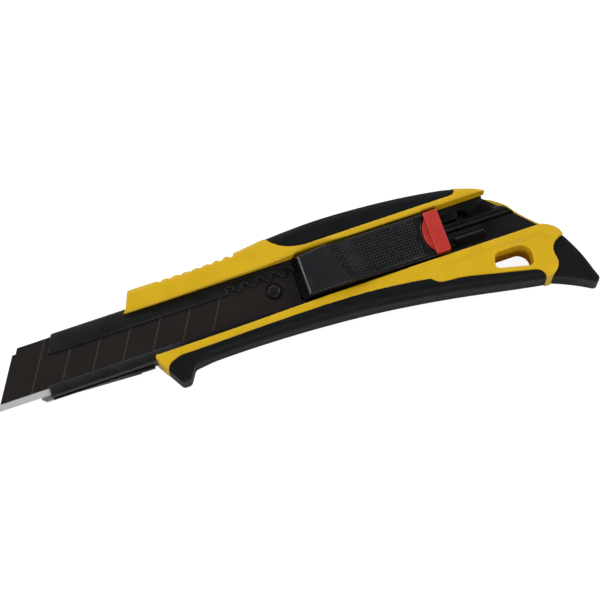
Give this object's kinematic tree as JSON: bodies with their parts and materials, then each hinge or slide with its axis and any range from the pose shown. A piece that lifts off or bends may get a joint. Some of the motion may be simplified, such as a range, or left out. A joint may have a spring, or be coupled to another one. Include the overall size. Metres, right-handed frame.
{
  "type": "utility knife",
  "caption": "Snap-off blade utility knife with a sliding thumb pad, a lock bar, soft grips with a finger guard and a hooked tail fin.",
  "frame": {"origin": "centre line of the blade channel on the flat back that the knife lies on, about the middle of its length", "axes": "+X from the blade tip to the tail, +Y from the cutting edge to the spine, +Z from the flat back to the thumb pad"},
  "size_m": [0.1933, 0.0485, 0.0159],
  "materials": {
    "yellow_plastic": "fine satin moulded plastic",
    "black_elastomer": "matt soft grip elastomer",
    "black_plastic": "satin moulded plastic",
    "red_plastic": "satin moulded plastic",
    "black_steel": "black coated sheet steel",
    "blade_steel": "black treated blade steel with a bright ground edge",
    "bare_steel": "plain steel"
  },
  "bodies": {
    "handle": {"handle_shell": "yellow_plastic", "upper_grip": "black_elastomer", "lower_grip": "black_elastomer", "tail_fin": "black_plastic", "fin_pins": "bare_steel", "inner_frame": "black_plastic", "shell_screws": "bare_steel", "blade_holder": "black_steel", "holder_back_plate": "black_steel", "holder_rivets": "black_steel"},
    "slider": {"snap_off_blade": "blade_steel", "carrier_plate": "black_steel", "blade_peg": "black_steel", "carrier_rivets": "bare_steel", "carriage": "black_plastic", "slider_pad": "black_plastic", "pad_screws": "bare_steel", "detent_spring": "bare_steel", "spring_rivet": "bare_steel", "lock_click_spring": "bare_steel"},
    "lock": {"lock_bar": "red_plastic", "lock_wedge": "bare_steel"}
  },
  "joints": [
    {"name": "slider_slide", "type": "slide", "parent": "handle", "child": "slider", "axis": [1, 0, 0], "range_m": [-0.05, 0.02], "deforming": ["detent_spring"]},
    {"name": "lock_slide", "type": "slide", "parent": "slider", "child": "lock", "axis": [1, 0, 0], "range_m": [0, 0.003]}
  ]
}
